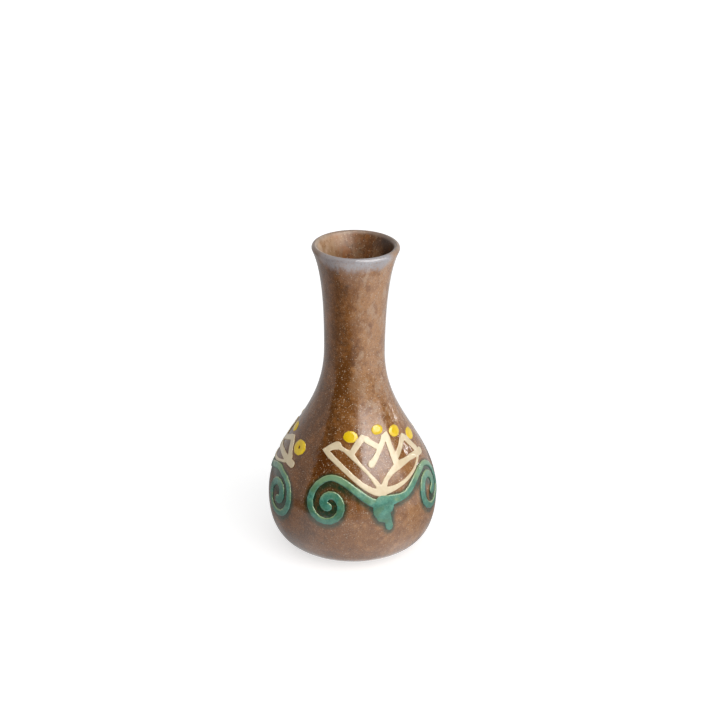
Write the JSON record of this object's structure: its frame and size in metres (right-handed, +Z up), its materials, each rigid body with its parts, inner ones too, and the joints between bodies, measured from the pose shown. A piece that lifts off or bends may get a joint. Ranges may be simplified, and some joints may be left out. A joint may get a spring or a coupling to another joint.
{
  "type": "bud vase",
  "caption": "Small thrown stoneware bud vase with a round belly, long neck and rolled lip, speckled brown glaze and raised flowers, scrolls and drops of slip.",
  "frame": {"origin": "centre of the foot, on the table", "axes": "+Z up along the throwing axis, -Y towards the viewer, +X to the viewer's right"},
  "size_m": [0.069, 0.0695, 0.13],
  "materials": {
    "clay": "matte",
    "brown_glaze": "gloss",
    "liner_glaze": "gloss",
    "cream_slip": "gloss",
    "green_slip": "gloss",
    "yellow_slip": "gloss"
  },
  "bodies": {
    "root": {"clay_body": "clay", "outer_glaze": "brown_glaze", "liner_glaze": "liner_glaze", "front_flower": "cream_slip", "front_scroll": "green_slip", "front_drop_1": "yellow_slip", "front_drop_2": "yellow_slip", "front_drop_3": "yellow_slip", "front_drop_4": "yellow_slip", "left_flower": "cream_slip", "left_scroll": "green_slip", "left_drop_1": "yellow_slip", "left_drop_2": "yellow_slip", "left_drop_3": "yellow_slip", "left_drop_4": "yellow_slip", "back_flower": "cream_slip", "back_scroll": "green_slip", "back_drop_1": "yellow_slip", "back_drop_2": "yellow_slip", "back_drop_3": "yellow_slip", "back_drop_4": "yellow_slip"}
  },
  "joints": []
}
